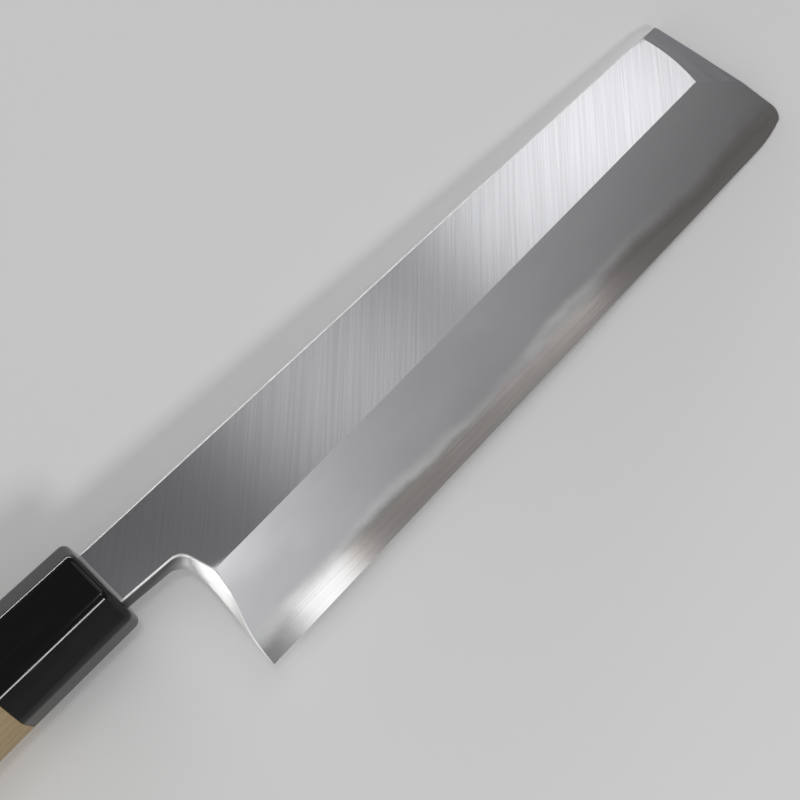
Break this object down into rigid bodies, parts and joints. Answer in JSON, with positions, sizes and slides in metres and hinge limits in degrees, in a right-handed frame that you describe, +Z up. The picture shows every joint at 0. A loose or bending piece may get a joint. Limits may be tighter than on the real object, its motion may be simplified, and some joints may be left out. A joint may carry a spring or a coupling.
{
  "type": "usuba knife",
  "caption": "Square-tipped single-bevel vegetable knife: laminated steel blade with a tang in an octagonal wooden handle with a black horn ferrule.",
  "frame": {"origin": "on the table under the middle of the knife, which lies on its back face with the bevel up", "axes": "+X towards the tip, +Y towards the spine, +Z up out of the bevel side; the blade leans 2.2 degrees down to its tip, because the handle is thicker than the blade"},
  "size_m": [0.3522, 0.0524, 0.0268],
  "materials": {
    "blade_iron": "satin brushed flat, hazy matt bevel",
    "edge_steel": "finely polished",
    "black_horn": "polished",
    "magnolia_wood": "bare, sanded"
  },
  "bodies": {
    "root": {"blade_body": "blade_iron", "edge_steel": "edge_steel", "horn_ferrule": "black_horn", "wood_handle": "magnolia_wood"}
  },
  "joints": []
}
